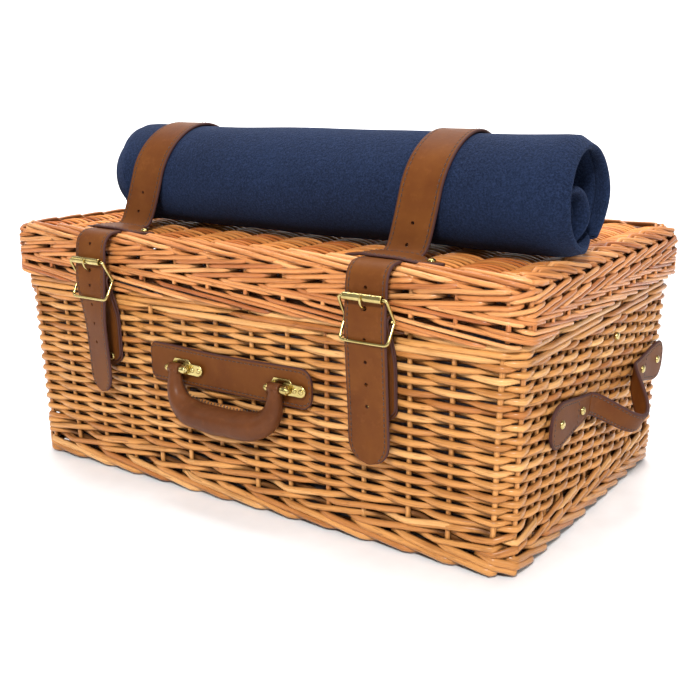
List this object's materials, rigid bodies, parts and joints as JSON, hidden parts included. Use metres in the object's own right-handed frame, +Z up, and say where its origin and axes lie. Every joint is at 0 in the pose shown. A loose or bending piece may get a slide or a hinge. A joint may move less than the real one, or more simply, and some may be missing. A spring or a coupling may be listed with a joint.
{
  "type": "wicker picnic basket",
  "caption": "Rectangular willow picnic basket with a deep hinged lid, buckled leather straps holding a rolled blanket, and leather carrying handles.",
  "frame": {"origin": "middle of the underside of the base, on the floor", "axes": "+X along the length to the right of a person facing the front, +Y from the front to the back, +Z up"},
  "size_m": [0.6056, 0.3859, 0.3348],
  "materials": {
    "willow": "varnished willow rods, satin, golden orange",
    "willow_lid": "varnished willow rods, satin, a little redder than the body",
    "leather": "smooth brown leather, satin, painted edges",
    "brass": "polished pale brass",
    "fleece": "navy fleece, matt",
    "cotton": "plain grey cotton, matt"
  },
  "bodies": {
    "basket": {"base_panel": "willow", "foot_border": "willow", "wall_front": "willow", "wall_back": "willow", "wall_left": "willow", "wall_right": "willow", "corner_post_front_left": "willow", "corner_post_front_right": "willow", "corner_post_back_left": "willow", "corner_post_back_right": "willow", "rim_border": "willow", "liner": "cotton", "handle_plate": "leather", "handle_bracket_left": "brass", "handle_bracket_right": "brass", "handle_pin_left": "brass", "handle_pin_right": "brass", "billet_left": "leather", "billet_rivet_left": "brass", "hinge_strap_left": "leather", "wall_stud_left": "brass", "side_pad_left_front": "leather", "side_rivet_left_front_inner": "brass", "side_rivet_left_front_outer": "brass", "side_pad_left_back": "leather", "side_rivet_left_back_inner": "brass", "side_rivet_left_back_outer": "brass", "billet_right": "leather", "billet_rivet_right": "brass", "hinge_strap_right": "leather", "wall_stud_right": "brass", "side_pad_right_front": "leather", "side_rivet_right_front_inner": "brass", "side_rivet_right_front_outer": "brass", "side_pad_right_back": "leather", "side_rivet_right_back_inner": "brass", "side_rivet_right_back_outer": "brass"},
    "lid": {"lid_panel": "willow_lid", "lid_skirt": "willow_lid", "strap_left": "leather", "keeper_left": "leather", "keeper_stud_left": "brass", "strap_right": "leather", "keeper_right": "leather", "keeper_stud_right": "brass"},
    "strap_front_left": {"strap_front_left": "leather"},
    "strap_tail_left": {"strap_tail_left": "leather"},
    "buckle_left": {"buckle_frame_left": "brass"},
    "prong_left": {"buckle_prong_left": "brass"},
    "roller_left": {"buckle_roller_left": "brass"},
    "side_handle_left": {"side_handle_left": "leather"},
    "strap_front_right": {"strap_front_right": "leather"},
    "strap_tail_right": {"strap_tail_right": "leather"},
    "buckle_right": {"buckle_frame_right": "brass"},
    "prong_right": {"buckle_prong_right": "brass"},
    "roller_right": {"buckle_roller_right": "brass"},
    "side_handle_right": {"side_handle_right": "leather"},
    "front_handle": {"front_handle": "leather"},
    "blanket": {"blanket": "fleece"}
  },
  "joints": [
    {"name": "lid_hinge", "type": "hinge", "parent": "basket", "child": "lid", "pos_m": [0, 0.1828, 0.187], "axis": [-1, 0, 0], "range_deg": [0, 105], "deforming": ["strap_front_left", "strap_tail_left", "strap_front_right", "strap_tail_right", "hinge_strap_left", "hinge_strap_right"]},
    {"name": "strap_left_lift", "type": "hinge", "parent": "lid", "child": "strap_front_left", "pos_m": [-0.15, -0.1727, 0.2392], "axis": [-1, 0, 0], "range_deg": [0, 110], "deforming": ["strap_front_left", "strap_tail_left"]},
    {"name": "strap_left_droop", "type": "hinge", "parent": "strap_front_left", "child": "strap_tail_left", "pos_m": [-0.15, -0.192, 0.1838], "axis": [-1, 0, 0], "range_deg": [-70, 0], "deforming": ["strap_front_left", "strap_tail_left"]},
    {"name": "buckle_left_swing", "type": "hinge", "parent": "basket", "child": "buckle_left", "pos_m": [-0.15, -0.186, 0.195], "axis": [1, 0, 0], "range_deg": [0, 20], "deforming": ["strap_front_left", "strap_tail_left"]},
    {"name": "prong_left_swing", "type": "hinge", "parent": "buckle_left", "child": "prong_left", "pos_m": [-0.15, -0.186, 0.195], "axis": [1, 0, 0], "range_deg": [0, 60], "deforming": ["strap_front_left", "strap_tail_left"]},
    {"name": "roller_left_spin", "type": "hinge", "parent": "buckle_left", "child": "roller_left", "pos_m": [-0.15, -0.1958, 0.213], "axis": [1, 0, 0], "continuous": true},
    {"name": "side_handle_left_lift", "type": "hinge", "parent": "basket", "child": "side_handle_left", "pos_m": [-0.27005, 0.02, 0.12089], "axis": [0, 1, 0], "range_deg": [0, 80]},
    {"name": "strap_right_lift", "type": "hinge", "parent": "lid", "child": "strap_front_right", "pos_m": [0.15, -0.1727, 0.2392], "axis": [-1, 0, 0], "range_deg": [0, 110], "deforming": ["strap_front_right", "strap_tail_right"]},
    {"name": "strap_right_droop", "type": "hinge", "parent": "strap_front_right", "child": "strap_tail_right", "pos_m": [0.15, -0.192, 0.1838], "axis": [-1, 0, 0], "range_deg": [-70, 0], "deforming": ["strap_front_right", "strap_tail_right"]},
    {"name": "buckle_right_swing", "type": "hinge", "parent": "basket", "child": "buckle_right", "pos_m": [0.15, -0.186, 0.195], "axis": [1, 0, 0], "range_deg": [0, 20], "deforming": ["strap_front_right", "strap_tail_right"]},
    {"name": "prong_right_swing", "type": "hinge", "parent": "buckle_right", "child": "prong_right", "pos_m": [0.15, -0.186, 0.195], "axis": [1, 0, 0], "range_deg": [0, 60], "deforming": ["strap_front_right", "strap_tail_right"]},
    {"name": "roller_right_spin", "type": "hinge", "parent": "buckle_right", "child": "roller_right", "pos_m": [0.15, -0.1958, 0.213], "axis": [1, 0, 0], "continuous": true},
    {"name": "side_handle_right_lift", "type": "hinge", "parent": "basket", "child": "side_handle_right", "pos_m": [0.27005, 0.02, 0.12089], "axis": [0, -1, 0], "range_deg": [0, 80]},
    {"name": "front_handle_lift", "type": "hinge", "parent": "basket", "child": "front_handle", "pos_m": [0, -0.18356, 0.12348], "axis": [-1, 0, 0], "range_deg": [0, 160]},
    {"name": "blanket_slide", "type": "slide", "parent": "lid", "child": "blanket", "axis": [1, 0, 0], "range_m": [0, 0.48]}
  ],
  "couplings": [
    {"joint": "strap_left_droop", "follows": "lid_hinge", "ratio": -0.62},
    {"joint": "strap_right_droop", "follows": "lid_hinge", "ratio": -0.62}
  ]
}
